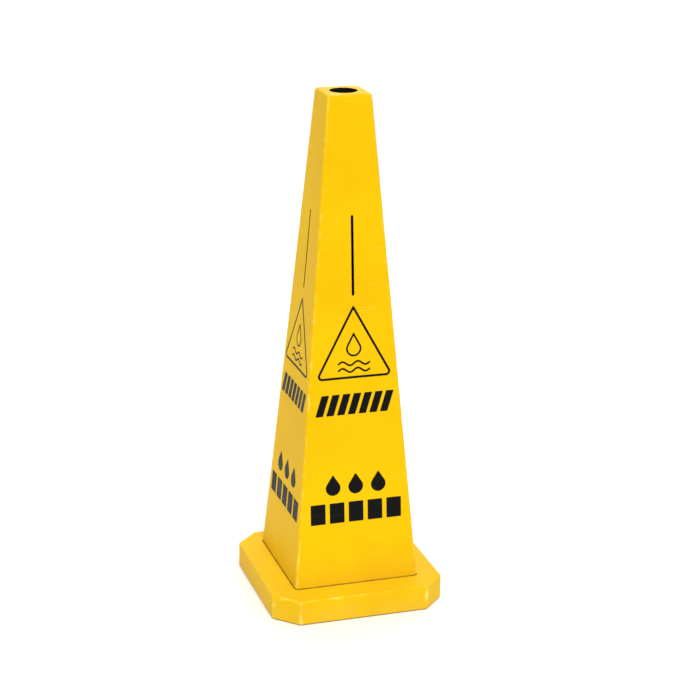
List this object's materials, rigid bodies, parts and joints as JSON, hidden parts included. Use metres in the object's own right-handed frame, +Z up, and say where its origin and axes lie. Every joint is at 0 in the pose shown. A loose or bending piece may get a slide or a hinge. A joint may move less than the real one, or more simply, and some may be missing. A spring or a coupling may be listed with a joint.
{
  "type": "wet floor sign",
  "caption": "Tall square-section tapered caution cone with graphic warning films, tape slots, an open post socket and a lift-off weighted octagonal base.",
  "frame": {"origin": "on the floor under the middle of the sign, at the centre of the underside of its box", "axes": "+Z up through the post socket, -Y out of the front face, +X to the right seen from the front"},
  "size_m": [0.315, 0.315, 0.914],
  "materials": {
    "yellow_polyethylene": "moulded, satin",
    "black_film": "die-cut vinyl, satin",
    "pad_rubber": "matte",
    "ballast_rubber": "pressed crumb, matte",
    "screw_steel": "zinc plated"
  },
  "bodies": {
    "cone": {"cone_body": "yellow_polyethylene", "foot_pad_right_back": "pad_rubber", "foot_pad_right_front": "pad_rubber", "foot_pad_left_back": "pad_rubber", "foot_pad_left_front": "pad_rubber", "foot_pad_back_right": "pad_rubber", "foot_pad_front_right": "pad_rubber", "foot_pad_back_left": "pad_rubber", "foot_pad_front_left": "pad_rubber", "front_warning_triangle": "black_film", "front_hazard_bars": "black_film", "front_drop_row": "black_film", "front_tile_row": "black_film", "right_warning_triangle": "black_film", "right_hazard_bars": "black_film", "right_drop_row": "black_film", "right_tile_row": "black_film", "back_warning_triangle": "black_film", "back_hazard_bars": "black_film", "back_drop_row": "black_film", "back_tile_row": "black_film", "left_warning_triangle": "black_film", "left_hazard_bars": "black_film", "left_drop_row": "black_film", "left_tile_row": "black_film"},
    "weighted_base": {"base_shell": "yellow_polyethylene", "ballast_bar_front": "ballast_rubber", "ballast_bar_right": "ballast_rubber", "ballast_bar_back": "ballast_rubber", "ballast_bar_left": "ballast_rubber", "base_cover": "yellow_polyethylene", "cover_screws": "screw_steel"}
  },
  "joints": [
    {"name": "base_lift", "type": "slide", "parent": "cone", "child": "weighted_base", "axis": [0, 0, 1], "range_m": [0, 0.93]}
  ]
}
